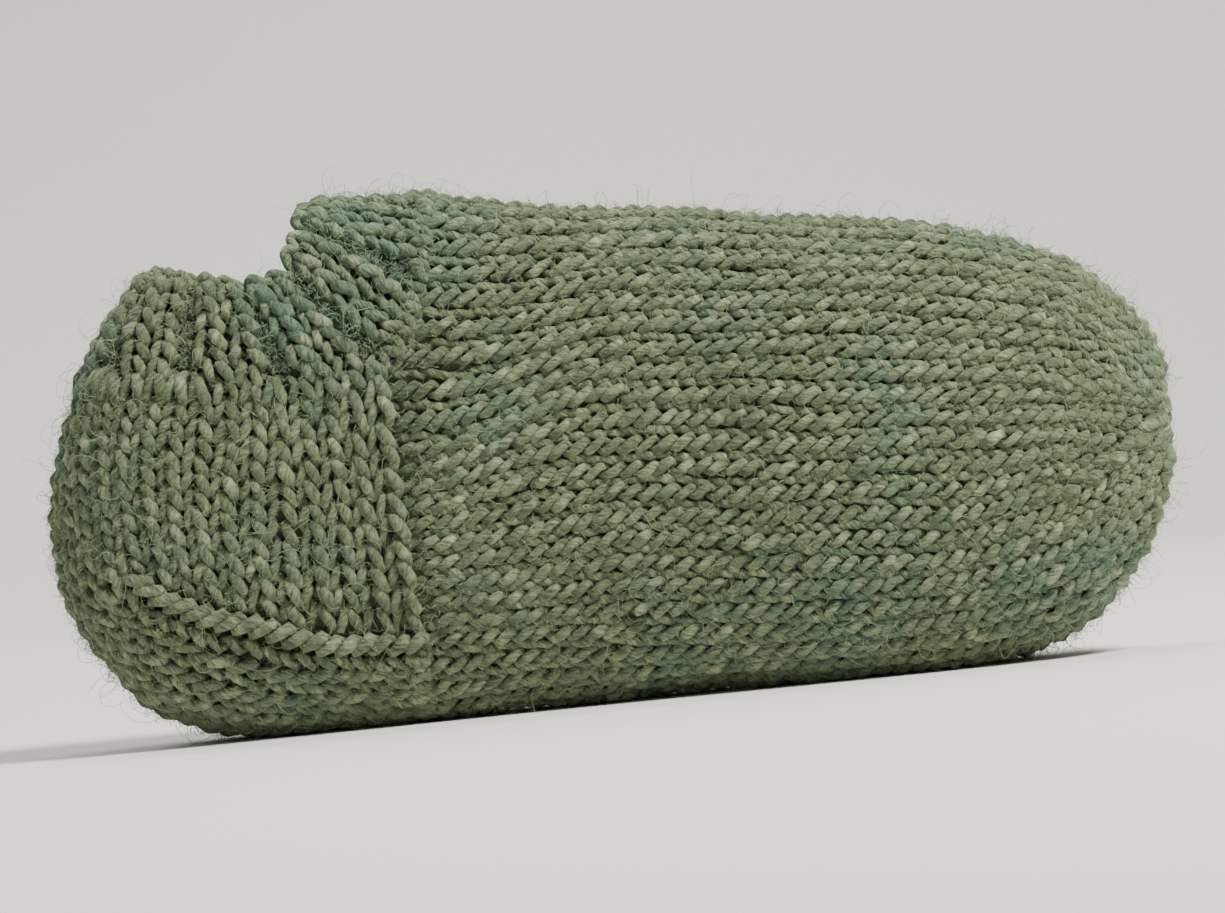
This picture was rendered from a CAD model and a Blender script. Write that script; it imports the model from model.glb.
import math

import bpy
import numpy as np
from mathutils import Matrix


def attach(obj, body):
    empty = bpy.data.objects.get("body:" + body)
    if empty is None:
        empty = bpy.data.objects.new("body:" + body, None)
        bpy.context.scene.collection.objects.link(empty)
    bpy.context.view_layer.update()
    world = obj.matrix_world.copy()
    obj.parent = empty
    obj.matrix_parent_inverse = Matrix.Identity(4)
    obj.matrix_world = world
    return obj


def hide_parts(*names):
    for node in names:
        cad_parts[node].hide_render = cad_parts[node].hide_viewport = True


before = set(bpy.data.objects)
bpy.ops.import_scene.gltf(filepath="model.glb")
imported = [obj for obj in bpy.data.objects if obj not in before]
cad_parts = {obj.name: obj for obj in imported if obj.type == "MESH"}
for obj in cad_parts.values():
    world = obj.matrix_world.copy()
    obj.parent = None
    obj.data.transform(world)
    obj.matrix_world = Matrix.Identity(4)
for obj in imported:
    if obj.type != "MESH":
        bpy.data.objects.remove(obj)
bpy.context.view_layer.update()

# A hand-knitted wool slipper, stitch by stitch: ribbed cuff, heel flap, turned heel, foot and star toe.
# All the making is in millimetres from the back of the heel, and becomes metres when a mesh is filled.
chance = np.random.default_rng(11)

# the last: sole and top are shares of the height, heel and ball shares of the two half widths
last = {
    "length": 245.0, "height": 107.0, "heelWidth": 58.0, "ballWidth": 63.0,
    "sink": 2.0,  # how far the round sole is pressed into the floor, which flattens it
    "widest": 0.43,  # share of a section's height where it is widest
    # powers of the sections' superellipse: below, above, and above at the collar, as far as collarFront
    "underSquare": 2.7, "topSquare": 2.15, "collarSquare": 2.7, "collarFront": 0.40,
    "sections": np.array([  # along, sole, top, heel, ball
        (0.000, 0.440, 0.440, 0.00, 0.00), (0.010, 0.290, 0.575, 0.40, 0.00),
        (0.035, 0.190, 0.735, 0.70, 0.00), (0.073, 0.090, 0.875, 0.90, 0.00),
        (0.110, 0.045, 0.960, 0.965, 0.00), (0.160, 0.010, 1.020, 0.99, 0.00),
        (0.270, 0.000, 1.072, 1.00, 0.00), (0.350, 0.000, 1.066, 0.90, 0.07),
        (0.440, 0.012, 1.028, 0.60, 0.34), (0.520, 0.020, 1.002, 0.30, 0.64),
        (0.610, 0.008, 0.974, 0.00, 0.95), (0.700, 0.000, 0.942, 0.00, 1.00),
        (0.780, 0.000, 0.912, 0.00, 0.985), (0.840, 0.014, 0.882, 0.00, 0.945),
        (0.890, 0.052, 0.840, 0.00, 0.87), (0.930, 0.112, 0.790, 0.00, 0.755),
        (0.962, 0.196, 0.724, 0.00, 0.59), (0.988, 0.325, 0.632, 0.00, 0.345),
        (1.000, 0.475, 0.475, 0.00, 0.00)]),
}

# rings of the knit in side view: number, where they cross instep and back, and the corner that pulls them
rings = {
    "samples": 361,  # points along half a ring
    "keys": np.array([
        (0.0, 0.264, -0.104, 0.245, 0.865), (0.5, 0.317, -0.066, 0.303, 0.745),
        (1.0, 0.370, -0.033, 0.333, 0.625), (1.5, 0.389, 0.045, 0.323, 0.557),
        (2.0, 0.403, 0.331, 0.304, 0.425), (3.0, 0.872, 0.872, 0.872, 0.460),
        (4.0, 1.000, 1.000, 1.000, 0.475)]),
}

# the stitch chart: stitches are counted on one side, from the instep's middle or from the flap's edge
chart = {
    "sub": 6,  # points on the cloth for each stitch
    "cuffRows": 7, "cuffHalf": 26, "cornerStitch": 10, "cornerAt": 77.0,
    "ribDraw": 0.62,  # share of its width that a purl stitch gives up to a knit one
    "flapRows": 11, "flapHalf": 16, "flapSide": 10,
    "bandRows": 18, "bandHalf": 6,
    "footRows": 37, "footHalf": 26, "footBreaks": (10, 20),
    # eight sectors of the toe, the first over the instep's middle, and the stitches left to each at the tip
    "toeRows": 11, "toeSectors": (6, 7, 6, 7, 6, 7, 6, 7), "toeLeft": 1.0,
    "toeSide": (213.0, 45.0), "toeEnds": (227.0, 226.0),  # its first round: at the side, on top and below
    "toeClose": 0.6,  # share of the toe after which its rounds close over the nose
    "toeDrawn": 0.45,  # rows that the last loops stay short of the tip, drawn into a small ring
    # the decrease line on the side of the heel, and the line where the foot's stitches were picked up
    "turnLine": np.array([(79.0, 19.0), (58.0, 22.0), (44.0, 27.0), (31.0, 32.0), (21.0, 38.0)]),
    "pickUp": np.array([(80.0, 0.0), (79.0, 19.0), (77.5, 28.0), (76.5, 45.0), (77.5, 60.0), (79.5, 71.0),
                        (84.5, 84.0)]),
    "heelLow": 34.0,  # height on the back where the flap ends
    "settle": 0.35,  # share of the foot after which its stitches are even
}


def angleOf(share):
    # the ends are round: an angle from 0 at the heel to pi at the toe
    return np.arccos(np.clip(1.0 - 2.0 * np.asarray(share, float), -1.0, 1.0))


def smoothThrough(at, knownAt, values):
    # a cubic between neighbours, with slopes that are the harmonic mean of the steps beside each value
    knownAt, values = np.asarray(knownAt, float), np.asarray(values, float)
    gaps = np.diff(knownAt)
    steps = np.diff(values) / gaps
    before, after = steps[:-1], steps[1:]
    total = np.where(before + after == 0.0, 1.0, before + after)
    inner = np.where(before * after > 0.0, 2.0 * before * after / total, 0.0)
    slopes = np.concatenate([steps[:1], inner, steps[-1:]])
    spot = np.clip(np.searchsorted(knownAt, at, side="right") - 1, 0, len(gaps) - 1)
    t = (at - knownAt[spot]) / gaps[spot]
    a, b = values[spot], values[spot + 1]
    m, n = slopes[spot] * gaps[spot], slopes[spot + 1] * gaps[spot]
    return a * (1 + 2 * t) * (1 - t) ** 2 + m * t * (1 - t) ** 2 + b * t**2 * (3 - 2 * t) + n * t**2 * (t - 1)


def lastAt(share):
    # sole height, top height and half width of the last at a share of its length
    at, table = angleOf(share), last["sections"]
    sole, top, heel, ball = (smoothThrough(at, angleOf(table[:, 0]), table[:, k]) for k in (1, 2, 3, 4))
    wide = heel * last["heelWidth"] / 2 + ball * last["ballWidth"] / 2
    sink = last["sink"] * np.minimum(1.0, wide / (last["heelWidth"] / 2))
    return sole * last["height"] - sink, top * last["height"], wide


def halfWidth(x, z):
    # a superellipse from the widest height, squarer below than above
    share = np.clip(x / last["length"], 0.0, 1.0)
    sole, top, wide = lastAt(share)
    middle = sole + last["widest"] * (top - sole)
    collar = np.clip(1.0 - share / last["collarFront"], 0.0, 1.0) ** 0.5
    above = last["topSquare"] + (last["collarSquare"] - last["topSquare"]) * collar
    up = np.clip((z - middle) / np.maximum(top - middle, 1e-6), 0.0, 1.0)
    down = np.clip((middle - z) / np.maximum(middle - sole, 1e-6), 0.0, 1.0)
    below = last["underSquare"]
    return wide * np.where(z > middle, (1 - up**above) ** (1 / above), (1 - down**below) ** (1 / below))


def outline(angle):
    # a point of the side outline: the back above the heel's furthest point below zero, the sole beyond it
    share = (1.0 - np.cos(angle)) / 2.0
    sole, top, _ = lastAt(share)
    return np.stack([share * last["length"], np.where(angle < 0, top, sole)], -1)


def ringCurves(at):
    # rings in side view: a cubic from the instep line to the back or sole, both its handles at one corner
    keys = rings["keys"]
    front = smoothThrough(at, keys[:, 0], angleOf(keys[:, 1]))
    back = smoothThrough(at, keys[:, 0], np.sign(keys[:, 2]) * angleOf(np.abs(keys[:, 2])))
    share = (1.0 - np.cos(front)) / 2.0
    start = np.stack([share * last["length"], lastAt(share)[1]], -1)
    corner = np.stack([smoothThrough(at, keys[:, 0], keys[:, 3]) * last["length"],
                       smoothThrough(at, keys[:, 0], keys[:, 4]) * last["height"]], -1)
    u = ((1 - np.cos(np.linspace(0, math.pi, rings["samples"]))) / 2)[None, :, None]
    return (1 - u) ** 3 * start[:, None] + 3 * u * (1 - u) * corner[:, None] + u**3 * outline(back)[:, None]


def inSpace(side):
    # the near half of a row: its side view laid on the last, flattened where it meets the floor
    return np.stack([side[..., 0], -halfWidth(side[..., 0], side[..., 1]), np.maximum(side[..., 1], 0.0)], -1)


def arcShare(curve):
    # length along each row, from 0 to 1
    steps = np.linalg.norm(np.diff(curve, axis=-2), axis=-1)
    run = np.concatenate([np.zeros(steps.shape[:-1] + (1,)), np.cumsum(steps, axis=-1)], axis=-1)
    return run / np.maximum(run[..., -1:], 1e-9)


def alongCurve(curve, share):
    # points of one curve at shares of its length
    run = arcShare(curve)
    return np.stack([np.interp(share, run, curve[:, k]) for k in range(curve.shape[1])], -1)


def cornerToCorner(line, steps):
    # points at even steps from each corner of a line to the next, and the last corner
    parts = [np.linspace(a, b, steps, endpoint=False) for a, b in zip(line[:-1], line[1:])]
    return np.concatenate(parts + [line[-1:]])


def clothFrom(side, edges, closed):
    # side: rows in side view; edges: where each stitch starts, as shares of the half row's length
    # each point lies at its share of its row's length, and the far half mirrors the near one; the normal is
    # the step along the row crossed with the step to the next row
    curves = inSpace(side)
    runs = arcShare(curves)
    sub = chart["sub"]
    count = edges.shape[1] - 1
    fine = np.stack([np.interp(np.arange(count * sub + 1) / sub, np.arange(count + 1), row) for row in edges])
    near = np.stack([np.stack([np.interp(share, run, curve[:, k]) for k in range(3)], -1)
                     for share, run, curve in zip(fine, runs, curves)])
    far = near[:, ::-1] * [1, -1, 1]
    points = np.concatenate([near, far[:, 1:]], axis=1)
    if closed:
        ring = points[:, :-1]
        across = np.roll(ring, -1, axis=1) - np.roll(ring, 1, axis=1)
        across = np.concatenate([across, across[:, :1]], axis=1)
    else:
        across = np.gradient(points, axis=1)
    normal = np.cross(across, np.gradient(points, axis=0))
    size = np.linalg.norm(normal, axis=2, keepdims=True)
    normal = np.where(size > 1e-6, normal / np.maximum(size, 1e-9), [1.0, 0.0, 0.0])
    return {"points": points, "normal": normal, "closed": closed, "stitches": 2 * count}


def clothAt(cloth, u, v):
    # points and normals at stitch u and row v, straight between the cloth's own points
    points, normal = cloth["points"], cloth["normal"]
    across, rows = points.shape[1] - 1, points.shape[0] - 1
    place = u * chart["sub"]
    if cloth["closed"]:
        place = np.mod(place, across)
    i = np.clip(np.floor(place).astype(int), 0, across - 1)
    j = np.clip(np.floor(v).astype(int), 0, rows - 1)
    a, b = (place - i)[..., None], (v - j)[..., None]
    mixed = []
    for source in (points, normal):
        mixed.append((1 - b) * ((1 - a) * source[j, i] + a * source[j, i + 1])
                     + b * ((1 - a) * source[j + 1, i] + a * source[j + 1, i + 1]))
    size = np.linalg.norm(mixed[1], axis=-1, keepdims=True)
    return mixed[0], mixed[1] / np.maximum(size, 1e-9)


def ease(t):
    # from 0 to 1 without a corner: three t squared less two t cubed
    t = np.clip(t, 0.0, 1.0)
    return t * t * (3 - 2 * t)


def isKnit(stitch):
    # which stitches of the cuff are knit: two knit, two purl, with a knit pair over the middle of the instep
    half = chart["cuffHalf"]
    fromFront = np.where(stitch < half, stitch, 2 * half - 1 - stitch)
    return (fromFront + 1) % 4 < 2


def cornerShare(curve):
    # where the cuff's end turns the corner, as a share of its length
    return np.interp(-chart["cornerAt"], -curve[:, 0], arcShare(inSpace(curve)))


def cuffCloth():
    # rings from the rim to the cuff's end; knit stitches take most of the width, and the purls fold behind
    rows, half, corner = chart["cuffRows"], chart["cuffHalf"], chart["cornerStitch"]
    side = ringCurves(np.linspace(0.0, 1.0, rows + 1))
    knit = isKnit(np.arange(half))
    down = np.arange(rows + 1)[:, None] / rows
    tight = 1.0 - ease((down * rows - (rows - 2.5)) / 2.0)
    width = np.where(knit, 1.0 + chart["ribDraw"] * tight, 1.0 - chart["ribDraw"] * tight)
    edges = np.concatenate([np.zeros((rows + 1, 1)), np.cumsum(width, axis=1)], axis=1)
    edges /= edges[:, -1:]
    # towards the end of the cuff the corner stitch is led to the corner of the ring
    share = edges[:, corner:corner + 1]
    led = share + (cornerShare(side[-1]) - share) * down**2
    edges = np.where(edges < share, edges * led / share, 1 - (1 - edges) * (1 - led) / (1 - share))
    return clothFrom(side, edges, True)


def flapEndRow():
    # the last row of the flap, which is the decrease line on the side and a chord round the back
    angles = np.linspace(0.0, 1.2, 400)
    back = outline(angles)
    low = back[np.argmin(np.abs(back[:, 1] - chart["heelLow"]))]
    line = np.vstack([chart["turnLine"], low])
    return line, low


def flapCloth():
    # rows blend from the heel part of the cuff's end to the decrease line
    rows, half = chart["flapRows"], chart["flapHalf"]
    cuffEnd = ringCurves(np.array([1.0]))[0]
    run = arcShare(inSpace(cuffEnd))
    cut = cornerShare(cuffEnd)
    share = np.linspace(0.0, 1.0, rings["samples"])
    top = np.stack([np.interp(cut + (1 - cut) * share, run, cuffEnd[:, k]) for k in range(2)], -1)
    line, low = flapEndRow()
    steps = 60
    coarse = cornerToCorner(line, steps)
    run = arcShare(inSpace(coarse))
    turn = run[steps * (len(line) - 2)]
    bottom = np.stack([np.interp(share, run, coarse[:, k]) for k in range(2)], -1)
    blend = (np.arange(rows + 1) / rows)[:, None, None]
    side = (1 - blend) * top + blend * bottom
    # the back end of each row is brought onto the outline
    angles = np.linspace(-1.2, 1.2, 1200)
    back = outline(angles)
    order = np.argsort(back[:, 1])
    reach = np.interp(side[:, -1, 1], back[order, 1], back[order, 0]) - side[:, -1, 0]
    side[:, :, 0] += reach[:, None] * share[None, :] ** 3
    even = np.arange(half + 1) / half
    broken = np.interp(np.arange(half + 1), [0, chart["flapSide"], half], [0.0, turn, 1.0])
    edges = (1 - blend[:, :, 0]) * even + blend[:, :, 0] * broken
    return clothFrom(side, edges, False)


def bandCloth():
    # straight rows from the decrease line to the outline, down the back of the heel and forward under it
    rows, half = chart["bandRows"], chart["bandHalf"]
    _, low = flapEndRow()
    line = chart["turnLine"][::-1]
    fine = cornerToCorner(line, 40)
    run = arcShare(inSpace(fine))
    share = np.linspace(0.0, 1.0, rows + 1)
    start = np.stack([np.interp(share, run, fine[:, k]) for k in range(2)], -1)
    start = alongCurve(start, share)
    angles = np.linspace(0.0, 1.3, 2000)
    under = outline(angles)
    keep = (under[:, 1] <= low[1] + 1e-6) & (under[:, 0] <= chart["pickUp"][0, 0])
    end = alongCurve(under[keep], share)
    u = ((1 - np.cos(np.linspace(0, math.pi, rings["samples"]))) / 2)[None, :, None]
    side = (1 - u) * start[:, None] + u * end[:, None]
    edges = np.tile(np.arange(half + 1) / half, (rows + 1, 1))
    return clothFrom(side, edges, False)


def toeRings(s):
    # rings round the tip in side view: both ends run along the outline, and the middle straight to the tip,
    # in even steps of the side view at first and of the cloth's own length where it closes over the nose
    tip = np.array([last["length"], last["sections"][-1, 1] * last["height"]])
    ends = []
    for k, at in enumerate(chart["toeEnds"]):
        angles = np.linspace(angleOf(at / last["length"]), math.pi, 400) * (-1 if k == 0 else 1)
        line = outline(angles)
        line[-1] = tip
        steps = np.concatenate([[0.0], np.cumsum(np.linalg.norm(np.diff(line, axis=0), axis=1))])
        ends.append(np.stack([np.interp(s * steps[-1], steps, line[:, m]) for m in range(2)], -1))
    reach = np.array(chart["toeSide"]) - tip
    even = alongCurve(inSpace(tip + (np.linspace(1, 0, 400) ** 2)[:, None] * reach), s)[:, ::2]
    close = ease((s - chart["toeClose"]) / (1 - chart["toeClose"]))[:, None]
    middle = (1 - close) * (tip + (1 - s)[:, None] * reach) + close * even
    corner =(middle - (ends[0] + ends[1]) / 8) * 4 / 3
    u = ((1 - np.cos(np.linspace(0, math.pi, rings["samples"]))) / 2)[None, :, None]
    return (1 - u) ** 3 * ends[0][:, None] + 3 * u * (1 - u) * corner[:, None] + u**3 * ends[1][:, None]


def footCloth():
    # rows keep their share of the height, and lean less and less from the picked-up line to the toe
    rows, half = chart["footRows"], chart["footHalf"]
    keys = rings["keys"]
    instep = keys[2, 1] * last["length"]
    line = np.vstack([chart["pickUp"], [instep, lastAt(keys[2, 1])[1]]])
    sole, top, _ = lastAt(line[:, 0] / last["length"])
    level = np.clip((line[:, 1] - sole) / (top - sole), 0.0, 1.0)
    level[0], level[-1] = 0.0, 1.0
    height = (1 + np.cos(np.linspace(0, math.pi, rings["samples"]))) / 2
    first = smoothThrough(height, level, line[:, 0])
    start = toeRings(np.zeros(1))[0]
    under, over, _ = lastAt(start[:, 0] / last["length"])
    shown = np.clip((start[:, 1] - under) / (over - under), 0.0, 1.0)
    toe = np.interp(height, shown[::-1], start[::-1, 0])
    blend = (np.arange(rows + 1) / rows)[:, None]
    x = (1 - blend) * first + blend * toe
    sole, top, _ = lastAt(x / last["length"])
    side = np.stack([x, sole + height * (top - sole)], -1)
    # stitch shares at the picked-up line follow its corners, and settle to even ones
    run = arcShare(inSpace(side[0]))
    cornerAt = np.interp(level[4], height[::-1], run[::-1])
    soleAt = np.interp(level[1], height[::-1], run[::-1])
    a, b = chart["footBreaks"]
    broken = np.interp(np.arange(half + 1), [0, a, b, half], [0.0, cornerAt, soleAt, 1.0])
    settle = ease(np.arange(rows + 1) / (rows * chart["settle"]))[:, None]
    edges = (1 - settle) * broken + settle * np.arange(half + 1) / half
    return clothFrom(side, edges, True)


def toeCloth():
    # the toe's rings at even steps from its first round to the tip, with even stitches
    rows, half = chart["toeRows"], chart["footHalf"]
    side = toeRings(np.arange(rows + 1) / rows)
    cloth = clothFrom(side, np.tile(np.arange(half + 1) / half, (rows + 1, 1)), True)
    cloth["end"] = rows - chart["toeDrawn"]
    return cloth


# the yarn: radii and depths in millimetres, leans as shares of a stitch, heights in rows
yarn = {
    "points": 12, "sides": 5,
    "lift": -2.5,  # the middle of the cloth lies this far under the last
    "foot": -0.30, "tall": 1.62,  # a loop starts below its row and reaches over the next
    "thin": 0.92, "under": 1.15,
    "sharp": 1.5,  # power of the sine that swells the legs
    "scallop": 0.14,  # rows that knit wales rise, and purl wales dip, at the rim
    "strayAcross": 0.6, "strayFront": 1.8,  # how much of a look's wander goes sideways and to the front
    "plumper": 0.20, "plumpSink": 0.15,  # how a stitch worked over others swells, and how its ends sink
    "knitUp": 0.7, "purlDown": 1.35,  # how far the cuff's knit wales stand up and its purl wales fold in
    "press": 0.96,  # share of its radius that a yarn's middle keeps above the floor
    "ribTone": 0.16,  # shade on the cuff's knit wales, where 1 is the bottom of a gutter
}
# radius, front and lean are for the plump leg of a stitch, then for the other; wander is how uneven they are
looks = {
    "foot": {"radius": (1.20, 1.20), "front": (1.50, 0.45), "lean": (0.35, 0.15), "wander": 0.09},
    "toe": {"radius": (1.28, 1.16), "front": (1.35, 0.75), "lean": (0.31, 0.18), "wander": 0.08},
    "heel": {"radius": (1.42, 1.26), "front": (1.35, 1.05), "lean": (0.28, 0.24), "wander": 0.09},
    "cuff": {"radius": (1.45, 1.30), "front": (1.40, 1.15), "lean": (0.24, 0.22), "wander": 0.10},
    "band": {"radius": (1.38, 1.20), "front": (1.25, 0.90), "lean": (0.29, 0.22), "wander": 0.08},
}


def loopRows(cloth, rows, stitches, look, knit=None, lift=None, placing=None, plump=None, dusk=None):
    # a loop: across t/2pi plus a lean times sin 2t, up (1 - cos t)/2, to the front with sin squared t; its
    # legs swell with a power of the sine, and normal noise makes each stitch a little unlike the next
    rows = np.asarray(rows, float)
    points = yarn["points"]
    t = 2 * math.pi * np.arange(points) / points
    leg = (t >= math.pi).astype(int)
    swell = np.abs(np.sin(t)) ** yarn["sharp"]
    shape = (len(rows), stitches, points)
    number = np.arange(stitches)[None, :, None]
    wander = look["wander"]
    jitter = chance.normal(0.0, 1.0, (4, len(rows), stitches, 2))[..., leg] * swell
    u = number + t / (2 * math.pi) + np.array(look["lean"])[leg] * np.sin(2 * t)
    u = u + jitter[0] * wander * yarn["strayAcross"]
    v = rows[:, None, None] + yarn["foot"] + yarn["tall"] * (1 - np.cos(t)) / 2 + jitter[1] * wander
    radius = yarn["thin"] + (np.array(look["radius"])[leg] - yarn["thin"]) * swell
    radius = radius * (1 + jitter[2] * wander) * np.ones(shape)
    if plump is not None:
        # stitches worked over two others are thicker, and lie on top
        radius = radius * (1 + yarn["plumper"] * plump[..., None] * swell)
    front = -yarn["under"] + (yarn["under"] + np.array(look["front"])[leg]) * np.sin(t) ** 2
    front = front + jitter[3] * wander * yarn["strayFront"] + np.zeros(shape)
    if plump is not None:
        front = front + plump[..., None] * (swell - yarn["plumpSink"])
    if knit is not None:
        # purl loops show their backs, deep in the gutters; the last row of the cuff is knit all round
        knit = knit[None, :, None] | (rows[:, None, None] > chart["cuffRows"] - 1.5)
        front = np.where(knit, front + yarn["knitUp"], -front - yarn["purlDown"])
        v = v - yarn["scallop"] * np.where(knit, 1.0, -1.0) * np.maximum(0, 2 - rows)[:, None, None]
    v = np.minimum(v, cloth.get("end", np.inf))
    u, v, radius, front = (array.reshape(len(rows), -1) for array in (u, v, radius, front))
    if not cloth["closed"]:
        u, v, radius, front = (np.concatenate([array, array[:, -1:]], 1) for array in (u, v, radius, front))
        u[:, -1] = stitches
        v[:, -1] = rows + yarn["foot"]
    if placing is not None:
        u = placing(u, v)
    points3, normal = clothAt(cloth, u + sway(u, v), v)
    raised = yarn["lift"] + front + slack(points3)
    if lift is not None:
        raised = raised + lift(points3, u, v)
    centre = points3 + normal * raised[..., None]
    centre[..., 2] = np.maximum(centre[..., 2], radius * yarn["press"])
    if knit is not None:
        tone = (np.where(knit, yarn["ribTone"], 1.0) + np.zeros(shape)).reshape(len(rows), -1)
    else:
        tone = np.zeros(u.shape) if dusk is None else dusk(u, v)
    return {"centre": centre, "radius": radius, "normal": normal, "closed": cloth["closed"], "tone": tone}


def sway(u, v):
    # wales wander sideways by up to an eighth of a stitch: two sines along the wale, of 11 and 27 rows,
    # each out of step from wale to wale
    return 0.07 * np.sin(0.55 * v + 1.9 * np.round(u / 3)) + 0.05 * np.sin(0.23 * v + 0.8 * u)


def slack(points):
    # handmade cloth is slack here and there: sines of 26 to 40 mm that cross, up to half a millimetre high
    x, y, z = points[..., 0], points[..., 1], points[..., 2]
    crossed = np.sin(0.17 * x + 0.06 * z) * np.cos(0.15 * z + 0.05 * y)
    return 0.28 * crossed + 0.22 * np.sin(0.11 * x - 0.21 * z + 1.0)


def tubeQuads(tubes, count, sides, segments, start=0):
    # the four corners between neighbouring rings; numbers run round a ring, along a tube, then tube by tube
    r, p, s = np.meshgrid(np.arange(tubes), np.arange(segments), np.arange(sides), indexing="ij")
    corners = [(p, s), (p, s + 1), (p + 1, s + 1), (p + 1, s)]
    quads = np.stack([start + (r * count + along % count) * sides + around % sides
                      for along, around in corners], -1)
    return quads.reshape(-1, 4), r, corners


def strandMesh(strands):
    # a round tube along each strand: the centre, less up by the cosine and plus out by the sine of the turn,
    # both by the radius; the pattern runs by the yarn's length and round the tube, its seam on the inner side
    allPoints, allQuads, allUv, allTone, ends, start = [], [], [], [], [], 0
    sides = yarn["sides"]
    turn = 2 * math.pi * np.arange(sides) / sides
    for strand in strands:
        centre, radius, closed = strand["centre"], strand["radius"], strand["closed"]
        rows, count = radius.shape
        if closed:
            along = np.roll(centre, -1, axis=1) - np.roll(centre, 1, axis=1)
        else:
            along = np.gradient(centre, axis=1)
        along /= np.maximum(np.linalg.norm(along, axis=2, keepdims=True), 1e-9)
        up = strand["normal"] - along * np.sum(strand["normal"] * along, axis=2, keepdims=True)
        up /= np.maximum(np.linalg.norm(up, axis=2, keepdims=True), 1e-9)
        out = np.cross(along, up)
        ring = (-np.cos(turn)[:, None] * up[:, :, None, :] + np.sin(turn)[:, None] * out[:, :, None, :])
        points = centre[:, :, None, :] + ring * radius[:, :, None, None]
        steps = np.linalg.norm(np.diff(np.concatenate([centre, centre[:, :1]], 1), axis=1), axis=2)
        run = np.concatenate([np.zeros((rows, 1)), np.cumsum(steps, axis=1)], axis=1)
        run = run + (37.0 * np.arange(rows))[:, None]
        segments = count if closed else count - 1
        quads, r, corners = tubeQuads(rows, count, sides, segments, start)
        uv = np.stack([np.stack([run[r, p], s / sides], -1) for p, s in corners], -2)
        allQuads.append(quads)
        allUv.append(uv.reshape(-1, 2))
        if not closed:
            for end, way in ((0, -1), (count - 1, 1)):
                base = start + (np.arange(rows) * count + end) * sides
                ends.append(base[:, None] + np.arange(sides)[::way])
        allPoints.append(points.reshape(-1, 3))
        tone = strand.get("tone", np.zeros((rows, count)))
        allTone.append(np.repeat(tone.reshape(-1), sides))
        start += rows * count * sides
    faces = [np.concatenate(allQuads)]
    if ends:
        faces.append(np.concatenate(ends))
        allUv.append(np.zeros((faces[-1].size, 2)))
    return np.concatenate(allPoints), faces, np.concatenate(allUv), np.concatenate(allTone)


def makePiece(name, points, faces, material, uv=None, tone=None):
    # points in millimetres from the heel; faces: arrays with one number of corners each
    faces = [np.asarray(part, np.int32) for part in faces]
    mesh = bpy.data.meshes.new(name)
    corners = np.concatenate([part.reshape(-1) for part in faces])
    sizes = np.concatenate([np.full(len(part), part.shape[1], np.int32) for part in faces])
    placed = np.ascontiguousarray((points - [last["length"] / 2, 0, 0]) * 0.001, np.float32)
    mesh.vertices.add(len(placed))
    mesh.loops.add(len(corners))
    mesh.polygons.add(len(sizes))
    mesh.vertices.foreach_set("co", placed.reshape(-1))
    mesh.loops.foreach_set("vertex_index", corners)
    mesh.polygons.foreach_set("loop_start", np.concatenate([[0], np.cumsum(sizes)[:-1]]).astype(np.int32))
    mesh.update(calc_edges=True)
    if uv is not None:
        mesh.uv_layers.new(name="yarnRun").data.foreach_set("uv", uv.astype(np.float32).reshape(-1))
    if tone is not None:
        mesh.attributes.new("tone", "FLOAT", "POINT").data.foreach_set("value", tone.astype(np.float32))
    mesh.shade_smooth()
    mesh.materials.append(material)
    piece = bpy.data.objects.new(name, mesh)
    bpy.context.scene.collection.objects.link(piece)
    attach(piece, "root")
    print(name, len(placed), "points", int(np.sum(sizes - 2)), "triangles")
    return piece


def linear(hexColour):
    # sRGB hex to linear: a twelfth part near black, otherwise a power of 2.4
    values = [int(hexColour[k:k + 2], 16) / 255 for k in (1, 3, 5)]
    return tuple(c / 12.92 if c <= 0.04045 else ((c + 0.055) / 1.055) ** 2.4 for c in values) + (1.0,)


def addNode(tree, kind, links=None, **settings):
    # one node with its settings, then its links: input name or number to an output socket
    node = tree.nodes.new(kind)
    for key, value in settings.items():
        if key.startswith("in_"):
            name = key[3:]
            node.inputs[int(name) if name.isdigit() else name.replace("_", " ")].default_value = value
        else:
            setattr(node, key, value)
    for name, socket in (links or {}).items():
        tree.links.new(socket, node.inputs[name])
    return node


# sheep's wool, loosely spun and lightly twisted: matt and hairy, its four shades blended along the yarn
wool = {
    "leaf": "#728464", "moss": "#3c4833", "lichen": "#b6c198", "teal": "#618577",
    "patch": 34.0,  # mm, the drift of shade over the cloth
    "streak": 4.0,  # mm, blended fibres along the yarn
    "twist": 7.0,  # mm of yarn for one turn
    "fibres": 7.0,  # fibre bundles round the yarn, coarser than the real 0.03 mm so that they show
    "fluff": 1.1,  # mm, tufts of loose fibre
    "stretch": 0.45,  # fibres are long: their noise runs slower along the yarn than round it
    # where in its noise each shade starts and is full, and how much of it shows then
    "cool": (0.50, 0.72, 0.6), "warm": (0.48, 0.75, 1.0), "deep": (0.60, 0.34, 0.8),
    "gutter": (0.50, 0.58, 0.60),  # what the purl gutters leave of red, green and blue
    "fluffDeep": 0.0010, "spunDeep": 0.0012,  # metres of bump from the tufts and from the fibres
    "roughness": 0.92, "specular": 0.25,  # no highlight to speak of
    "sheen": 0.35, "sheenRoughness": 0.5, "sheenTint": "#c9d0b4",  # the soft light rim of short hairs
}


def shadeRange(tree, noise, limits):
    # the share of a shade: from none where the noise passes the first limit to the third number at the second
    return addNode(tree, "ShaderNodeMapRange", {"Value": noise.outputs[0]}, in_1=limits[0], in_2=limits[1],
                   in_3=0.0, in_4=limits[2])


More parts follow.
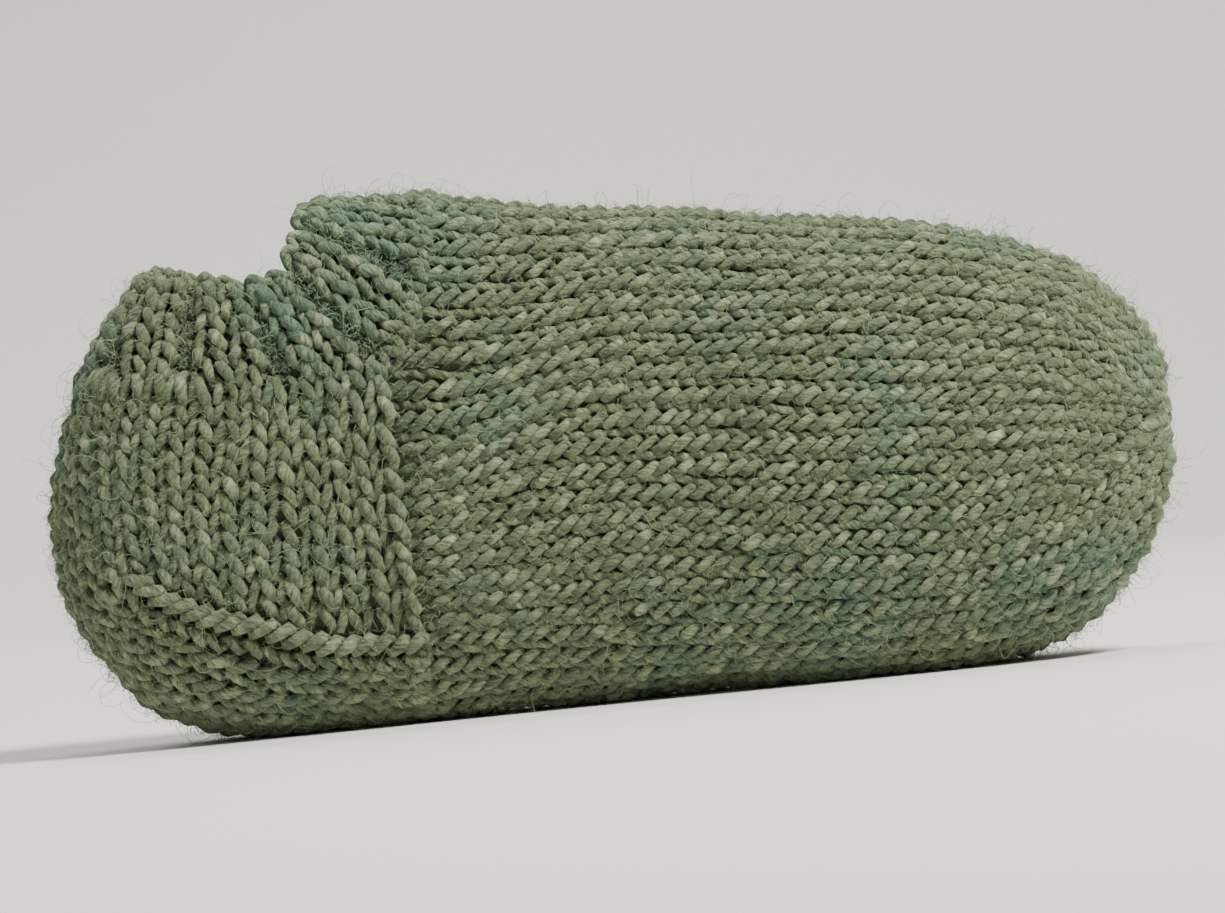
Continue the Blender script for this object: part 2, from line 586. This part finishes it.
def woolMaterial(name, shade=1.0, bump=1.0):
    # noise over the cloth mixes in the cool shade, noise along the yarn the warm one, and noise round its
    # twist the deep one; the result is multiplied by the shade, and the same twist gives the bump
    material = bpy.data.materials.new(name)
    material.use_nodes = True
    tree = material.node_tree
    shader = tree.nodes["Principled BSDF"]
    place = addNode(tree, "ShaderNodeTexCoord")
    yarnRun = addNode(tree, "ShaderNodeUVMap", uv_map="yarnRun")
    parts = addNode(tree, "ShaderNodeSeparateXYZ", {0: yarnRun.outputs[0]})
    turned = addNode(tree, "ShaderNodeMath", {0: parts.outputs[0]}, operation="MULTIPLY",
                     in_1=1 / wool["twist"])
    around = addNode(tree, "ShaderNodeMath", {0: parts.outputs[1], 1: turned.outputs[0]}, operation="ADD")
    spun = addNode(tree, "ShaderNodeMath", {0: around.outputs[0]}, operation="MULTIPLY", in_1=wool["fibres"])
    run = addNode(tree, "ShaderNodeMath", {0: parts.outputs[0]}, operation="MULTIPLY", in_1=wool["stretch"])
    fibreAt = addNode(tree, "ShaderNodeCombineXYZ", {0: spun.outputs[0], 1: run.outputs[0]})
    fibre = addNode(tree, "ShaderNodeTexNoise", {"Vector": fibreAt.outputs[0]}, in_Scale=1.0, in_Detail=3.0,
                    in_Roughness=0.6)
    patch = addNode(tree, "ShaderNodeTexNoise", {"Vector": place.outputs["Object"]},
                    in_Scale=1000 / wool["patch"], in_Detail=2.0)
    streakAt = addNode(tree, "ShaderNodeCombineXYZ", {0: parts.outputs[0], 1: around.outputs[0]})
    streak = addNode(tree, "ShaderNodeTexNoise", {"Vector": streakAt.outputs[0]}, in_Scale=1 / wool["streak"],
                     in_Detail=2.0)
    cool = shadeRange(tree, patch, wool["cool"])
    base = addNode(tree, "ShaderNodeMix", {"Factor": cool.outputs[0]}, data_type="RGBA")
    base.inputs[6].default_value = linear(wool["leaf"])
    base.inputs[7].default_value = linear(wool["teal"])
    warm = shadeRange(tree, streak, wool["warm"])
    warmed = addNode(tree, "ShaderNodeMix", {"Factor": warm.outputs[0], 6: base.outputs[2]}, data_type="RGBA")
    warmed.inputs[7].default_value = linear(wool["lichen"])
    deep = shadeRange(tree, fibre, wool["deep"])
    shaded = addNode(tree, "ShaderNodeMix", {"Factor": deep.outputs[0], 6: warmed.outputs[2]},
                     data_type="RGBA")
    shaded.inputs[7].default_value = linear(wool["moss"])
    # purl stitches in the gutters are shaded, and cooler
    tone = addNode(tree, "ShaderNodeAttribute", attribute_name="tone")
    tint = addNode(tree, "ShaderNodeMix", {"Factor": tone.outputs["Fac"]}, data_type="RGBA")
    tint.inputs[6].default_value = (shade, shade, shade, 1.0)
    tint.inputs[7].default_value = tuple(shade * part for part in wool["gutter"]) + (1.0,)
    tinted = addNode(tree, "ShaderNodeMix", {6: shaded.outputs[2], 7: tint.outputs[2]}, data_type="RGBA",
                     blend_type="MULTIPLY", in_0=1.0)
    tree.links.new(tinted.outputs[2], shader.inputs["Base Color"])
    shader.inputs["Roughness"].default_value = wool["roughness"]
    shader.inputs["Specular IOR Level"].default_value = wool["specular"]
    shader.inputs["Sheen Weight"].default_value = wool["sheen"]
    shader.inputs["Sheen Roughness"].default_value = wool["sheenRoughness"]
    shader.inputs["Sheen Tint"].default_value = linear(wool["sheenTint"])
    fluff = addNode(tree, "ShaderNodeTexNoise", {"Vector": place.outputs["Object"]},
                    in_Scale=1000 / wool["fluff"], in_Detail=4.0, in_Roughness=0.7)
    felted = addNode(tree, "ShaderNodeBump", {"Height": fluff.outputs[0]}, in_Strength=bump * 0.8,
                     in_Distance=wool["fluffDeep"])
    spunBump = addNode(tree, "ShaderNodeBump", {"Height": fibre.outputs[0], "Normal": felted.outputs[0]},
                       in_Strength=bump, in_Distance=wool["spunDeep"])
    tree.links.new(spunBump.outputs[0], shader.inputs["Normal"])
    return material


yarnWool = woolMaterial("spunWool")
# felted wool in shade, which gives the gaps between the loops their depth
coreWool = woolMaterial("feltedCore", shade=0.42, bump=0.3)
# single hairs of the same wool let light through, so they look lighter than the yarn
hairWool = woolMaterial("woolHair", shade=1.7, bump=0.0)

cuff, flap, band, foot, toe = cuffCloth(), flapCloth(), bandCloth(), footCloth(), toeCloth()
print("cloth laid out")

# low relief that the stitches ride on, in millimetres
relief = {
    "edge": 1.4, "valley": 1.6, "turn": 1.3,
    "turnWide": 1.45,  # stitches, the width of the decrease stitch
    "tuck": 0.9,
    "dusk": 0.75,  # shade at the bottom of the valley
}


def flapLift(points, u, v):
    # proud at the picked-up edge, by a bell curve of the stitches from it, and sunk beside the decrease line
    fromEdge = np.minimum(u, 2 * chart["flapHalf"] - u)
    side = ease((chart["flapSide"] + 1.0 - fromEdge) / 2.0)
    return relief["edge"] * np.exp(-(fromEdge / 1.1) ** 2) - 0.4 * relief["turn"] * side * ease(v - 9.5)


def bandLift(points, u, v):
    # the decrease stitches stand proud, by a bell curve of the stitches from the band's edge
    fromEdge = np.minimum(u, 2 * chart["bandHalf"] - u)
    return relief["turn"] * np.exp(-(fromEdge / 1.2) ** 2)


def bandPlacing(u, v):
    # the decrease stitches at both edges are wider, and the stitches between them share the rest
    half, wide = chart["bandHalf"], relief["turnWide"]
    fromEdge = np.minimum(u, 2 * half - u)
    placed = np.where(fromEdge < 1, fromEdge * wide, wide + (fromEdge - 1) * (half - wide) / (half - 1))
    return np.where(u < half, placed, 2 * half - placed)


def besideFlap(u):
    # 1 along the picked-up edge, easing to 0 four stitches from the instep's middle and four from the sole's
    half = chart["footHalf"]
    fromTop = np.minimum(u, 2 * half - u)
    return ease((fromTop - 4.0) / 4.0) * ease((half - fromTop - 4.0) / 3.0)


def footLift(points, u, v):
    # the valley beside the picked-up edge is a bell curve of the rows; the picked-up round is tucked under
    valley = relief["valley"] * besideFlap(u) * np.exp(-((v - 0.2) / 0.9) ** 2)
    return -valley - relief["tuck"] * ease(-v / 0.8)


def valleyDusk(u, v):
    # the valley's stitches lie in the flap's shade, which fades by a bell curve of the rows
    return relief["dusk"] * besideFlap(u) * np.exp(-(np.maximum(v, 0.0) / 1.5) ** 2)


def toeRows(cloth):
    # eight sectors; in each, stitch j starts at j / left of the sector, where the stitches left fall evenly
    # with the rows, and the last stitch narrows into the decrease line
    rows, sectors = chart["toeRows"], np.array(chart["toeSectors"])
    falling = [0.3, rows - 0.5]
    starts = np.concatenate([[0], np.cumsum(sectors)]) - sectors[0] / 2
    strands = []
    for row in range(rows):
        gone = np.interp(row, falling, [0.0, 1.0]) * (sectors - chart["toeLeft"])
        count = np.maximum(1, np.ceil(sectors - gone - 0.25).astype(int))
        firsts = np.concatenate([[0], np.cumsum(count)])

        def placing(u, v, count=count, firsts=firsts):
            u = np.mod(u, firsts[-1])
            sector = np.clip(np.searchsorted(firsts, u, side="right") - 1, 0, len(sectors) - 1)
            done = np.interp(v, falling, [0.0, 1.0])
            left = sectors[sector] - done * (sectors[sector] - chart["toeLeft"])
            x, whole = u - firsts[sector], count[sector] - 1
            left = np.maximum(left, whole + 0.2)
            part = np.where(x <= whole, x / left, whole / left + (x - whole) * (1 - whole / left))
            return starts[sector] + part * sectors[sector]

        plump = np.zeros((1, int(firsts[-1])))
        if row < rows - 2:
            plump[0, firsts[1:] - 1] = 1.2 if row % 2 else 0.8
        strands.append(loopRows(cloth, [row], int(firsts[-1]), looks["toe"], placing=placing, plump=plump))
    return strands


# the cord of the cast-on edge: heights in rows, depths and radii in millimetres
rimCord = {
    "points": 10, "low": -0.42, "high": 0.20,
    "in": 0.2, "out": 0.75, "rib": 0.6, "radius": 1.25, "swell": 0.15,
}


def castOn(cloth):
    # one turn a stitch round the rim: the height goes with the cosine and the front with the sine as u runs
    count, points = 2 * chart["cuffHalf"], rimCord["points"]
    u = np.arange(count * points) / points
    turn = 2 * math.pi * u
    knit = isKnit(np.floor(u).astype(int))
    v = rimCord["low"] + rimCord["high"] * np.cos(turn) - yarn["scallop"] * np.where(knit, 2.0, -2.0)
    points3, normal = clothAt(cloth, u, v)
    front = yarn["lift"] + rimCord["in"] + rimCord["out"] * np.sin(turn)
    front = front + np.where(knit, rimCord["rib"], -rimCord["rib"])
    kernel = np.ones(7) / 7
    front = np.convolve(np.concatenate([front[-3:], front, front[:3]]), kernel, "valid")
    radius = rimCord["radius"] + rimCord["swell"] * np.sin(turn * 0.5 + 0.7) + chance.normal(0, 0.04, u.shape)
    centre = points3 + normal * front[:, None]
    return {"centre": centre[None], "radius": radius[None], "normal": normal[None], "closed": True}


footKnit = [loopRows(foot, np.arange(a, b), foot["stitches"], looks["foot"], lift=footLift, dusk=valleyDusk)
            for a, b in ((-1, 17), (17, chart["footRows"]))]
flapKnit = loopRows(flap, np.arange(chart["flapRows"]), flap["stitches"], looks["heel"], lift=flapLift)
ridge = np.zeros((chart["bandRows"], band["stitches"]))
ridge[:, [0, -1]] = 0.6
bandKnit = loopRows(band, np.arange(chart["bandRows"]), band["stitches"], looks["band"], lift=bandLift,
                    placing=bandPlacing, plump=ridge)
cuffKnit = loopRows(cuff, np.arange(chart["cuffRows"]), cuff["stitches"], looks["cuff"],
                    knit=isKnit(np.arange(cuff["stitches"])))
toeKnit = toeRows(toe)

knitting = {
    "cuffKnit": [cuffKnit, castOn(cuff)], "heelKnit": [flapKnit, bandKnit], "instepKnit": [footKnit[0]],
    "forefootKnit": [footKnit[1]], "toeKnit": toeKnit,
}
pieces = {}
for name, strands in knitting.items():
    points, faces, uv, tone = strandMesh(strands)
    pieces[name] = makePiece(name, points, faces, yarnWool, uv, tone)


# a thin felted layer in the middle of the cloth, which closes the gaps between the loops
core = {"around": 88, "outer": -3.3, "inner": -4.1, "floor": 0.6}


def coreShell():
    # the rings of the knit, closer together at the tip by a sine, moved in along their normals to both
    # depths; the two sheets are joined at the rim, and each closes with a fan at the tip
    at = np.concatenate([np.linspace(0, 1, 8), np.linspace(1, 2, 12)[1:], np.linspace(2, 3, 16)[1:],
                         3 + np.sin(np.linspace(0, math.pi / 2, 12))[1:-1]])
    side = ringCurves(at)
    half = core["around"] // 2
    cloth = clothFrom(side, np.tile(np.arange(half + 1) / half, (len(at), 1)), True)
    step = chart["sub"]
    points, normal = cloth["points"][:, :-1:step], cloth["normal"][:, :-1:step]
    around = points.shape[1]
    outer, inner = points + normal * core["outer"], points + normal * core["inner"]
    tip = last["sections"][-1, 1] * last["height"]
    fans = [[last["length"] + core[depth], 0, tip] for depth in ("outer", "inner")]
    sheets = np.concatenate([outer.reshape(-1, 3), inner.reshape(-1, 3), fans])
    sheets[:, 2] = np.maximum(sheets[:, 2], core["floor"])
    r, s = np.meshgrid(np.arange(len(at) - 1), np.arange(around), indexing="ij")
    t = (s + 1) % around
    first = np.stack([r * around + s, r * around + t, (r + 1) * around + t, (r + 1) * around + s], -1)
    first = first.reshape(-1, 4)
    total = len(at) * around
    second = first[:, ::-1] + total
    s, t = np.arange(around), (np.arange(around) + 1) % around
    rim = np.stack([s, s + total, t + total, t], -1)
    end = (len(at) - 1) * around
    tips = np.concatenate([np.stack([end + s, end + t, np.full(around, 2 * total)], -1),
                           np.stack([end + t + total, end + s + total, np.full(around, 2 * total + 1)], -1)])
    return sheets, [np.concatenate([first, second, rim]), tips]


shellPoints, shellFaces = coreShell()
pieces["feltCore"] = makePiece("feltCore", shellPoints, shellFaces, coreWool)


# loose ends of wool: a short nap everywhere, and long curls that wander off the surface
hair = {
    "nap": {"count": 14000, "steps": 2, "long": (1.6, 4.4), "thick": 0.065, "rise": 0.75, "curl": 0.9},
    "down": {"count": 14000, "steps": 2, "long": (1.6, 4.4), "thick": 0.065, "rise": 0.6, "curl": 0.9},
    "wisps": {"count": 1700, "steps": 13, "long": (7.0, 19.0), "thick": 0.065, "rise": 0.55, "curl": 1.5},
}


# where hairs are rooted, in millimetres from the cloth, and what bends them
rooting = {
    "roots": (-1.6, -0.1), "spread": 0.75, "shake": 0.12,
    "low": 0.8, "lift": 0.35,  # below this height a hair is pushed up
    "high": 4.5, "sink": -0.25,  # above this one it is drawn back
}


def hairStrands(spec):
    # each hair starts on the cloth and steps on; its heading turns by the curl about a random axis, and leans
    # towards or away from the normal by its height above the cloth
    cloths = (  # cloth, its rows, and its share of the hairs
        (cuff, chart["cuffRows"], 0.16), (flap, chart["flapRows"], 0.16), (band, chart["bandRows"], 0.10),
        (foot, chart["footRows"], 0.46), (toe, chart["toeRows"] - 2, 0.12))
    roots, ways = [], []
    for cloth, rows, part in cloths:
        count = int(spec["count"] * part)
        u, v = chance.uniform(0, cloth["stitches"], count), chance.uniform(-0.3, rows, count)
        point, normal = clothAt(cloth, u, v)
        roots.append(point + normal * chance.uniform(*rooting["roots"], (count, 1)))
        ways.append(normal)
    root, normal = np.concatenate(roots), np.concatenate(ways)
    count = len(root)
    steps = spec["steps"]
    length = chance.uniform(*spec["long"], (count, 1)) * chance.uniform(0.5, 1.0, (count, 1))
    heading = normal * spec["rise"] + chance.normal(0, rooting["spread"], (count, 3))
    heading /= np.linalg.norm(heading, axis=1, keepdims=True)
    spin = chance.normal(0, 1, (count, 3))
    spin /= np.linalg.norm(spin, axis=1, keepdims=True)
    line = [root]
    for step in range(steps):
        heading = heading + spec["curl"] / steps * 3.0 * np.cross(spin, heading)
        heading = heading + chance.normal(0, rooting["shake"], (count, 3))
        above = np.sum((line[-1] - root) * normal, axis=1, keepdims=True)
        back = np.where(above > rooting["high"], rooting["sink"], 0.0)
        bend = np.where(above < rooting["low"], rooting["lift"], back)
        heading = heading + normal * bend
        heading /= np.linalg.norm(heading, axis=1, keepdims=True)
        line.append(line[-1] + heading * length / steps)
    centre = np.stack(line, 1)
    centre[..., 2] = np.maximum(centre[..., 2], 0.15)
    return centre


def hairMesh(centre, thick):
    # three-sided hairs round their centres, closed at both ends, thinner by the square of the way along
    count, steps = centre.shape[:2]
    along = np.gradient(centre, axis=1)
    along /= np.maximum(np.linalg.norm(along, axis=2, keepdims=True), 1e-9)
    side = np.cross(along, [0.31, 0.52, 0.79])
    side /= np.maximum(np.linalg.norm(side, axis=2, keepdims=True), 1e-9)
    over = np.cross(along, side)
    turn = 2 * math.pi * np.arange(3) / 3
    taper = thick * (1 - 0.6 * np.linspace(0, 1, steps) ** 2)[None, :, None, None]
    ring = (np.cos(turn)[:, None] * side[:, :, None] + np.sin(turn)[:, None] * over[:, :, None]) * taper
    points = (centre[:, :, None] + ring).reshape(-1, 3)
    quads = tubeQuads(count, steps, 3, steps - 1)[0]
    first = np.arange(count) * steps * 3
    ends = np.concatenate([first[:, None] + [0, 2, 1], first[:, None] + (steps - 1) * 3 + [0, 1, 2]])
    return points, [quads, ends]


for name, spec in hair.items():
    points, faces = hairMesh(hairStrands(spec), spec["thick"])
    pieces[name] = makePiece(name, points, faces, hairWool)
for piece in pieces.values():
    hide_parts("knitted_body")
print("knit made")

# plain pale floor that rises behind into a backdrop, in metres
stage = {
    "near": -3.0, "deep": 1.1, "bend": 0.8, "high": 2.6, "wide": 3.0,
    "floor": "#eceae6", "roughness": 0.9,
}


def sweepFloor():
    # a flat run, a quarter circle and an upright run, drawn out across the width
    turn = np.linspace(0, math.pi / 2, 25)
    profile = np.concatenate([[[stage["near"], 0.0]],
                              np.stack([stage["deep"] + stage["bend"] * np.sin(turn),
                                        stage["bend"] * (1 - np.cos(turn))], -1),
                              [[stage["deep"] + stage["bend"], stage["high"]]]])
    across = np.array([-stage["wide"], stage["wide"]])
    points = np.array([(x, y, z) for x in across for y, z in profile])
    count = len(profile)
    k = np.arange(count - 1)
    faces = np.stack([k, k + count, k + count + 1, k + 1], -1)
    mesh = bpy.data.meshes.new("paleFloor")
    mesh.from_pydata(points.tolist(), [], faces.tolist())
    mesh.shade_smooth()
    # matt card, which shows soft shadows and no highlight
    material = bpy.data.materials.new("paleCard")
    material.use_nodes = True
    shader = material.node_tree.nodes["Principled BSDF"]
    shader.inputs["Base Color"].default_value = linear(stage["floor"])
    shader.inputs["Roughness"].default_value = stage["roughness"]
    shader.inputs["Specular IOR Level"].default_value = 0.1
    mesh.materials.append(material)
    floor = bpy.data.objects.new("paleFloor", mesh)
    bpy.context.scene.collection.objects.link(floor)


sweepFloor()

lights = {  # name: place, what it points at, size, power, colour
    "overhead": ((0.60, -0.52, 1.12), (0.0, 0.0, 0.05), 0.45, 32.0, "#fffaf2"),
    "front": ((0.6, -1.5, 0.6), (0.0, 0.0, 0.05), 1.0, 2.0, "#f6f8ff"),
    "behind": ((-0.7, 0.9, 0.9), (0.0, 0.0, 0.05), 0.8, 8.0, "#ffffff"),
    "backdrop": ((0.0, 0.6, 1.9), (0.0, 2.0, 0.4), 1.0, 24.0, "#ffffff"),
}
for name, (place, target, size, power, colour) in lights.items():
    lamp = bpy.data.lights.new(name, "AREA")
    lamp.shape = "DISK"
    lamp.size = size
    lamp.energy = power
    lamp.color = linear(colour)[:3]
    holder = bpy.data.objects.new(name, lamp)
    holder.location = place
    aim = np.array(target) - place
    flat = math.hypot(aim[0], aim[1])
    holder.rotation_euler = (math.atan2(flat, -aim[2]), 0, math.atan2(-aim[0], aim[1]))
    bpy.context.scene.collection.objects.link(holder)

world = bpy.data.worlds.new("softRoom")
world.use_nodes = True
world.node_tree.nodes["Background"].inputs[0].default_value = linear("#f2f3f2")
world.node_tree.nodes["Background"].inputs[1].default_value = 0.15
bpy.context.scene.world = world

# square to the slipper's side, rolled so that the sole climbs to the right; metres and degrees
view = {"distance": 1.3, "roll": 5.8, "aim": (0.0006, 0.0528), "width": 0.2656}
camera = bpy.data.cameras.new("sideView")
camera.sensor_width = 36.0
camera.lens = 36.0 * view["distance"] / view["width"]
camera.clip_start = 0.05
holder = bpy.data.objects.new("sideView", camera)
holder.location = (view["aim"][0], -view["distance"], view["aim"][1])
holder.rotation_euler = (math.pi / 2, math.radians(view["roll"]), 0)
bpy.context.scene.collection.objects.link(holder)
bpy.context.scene.camera = holder
print("stage set")
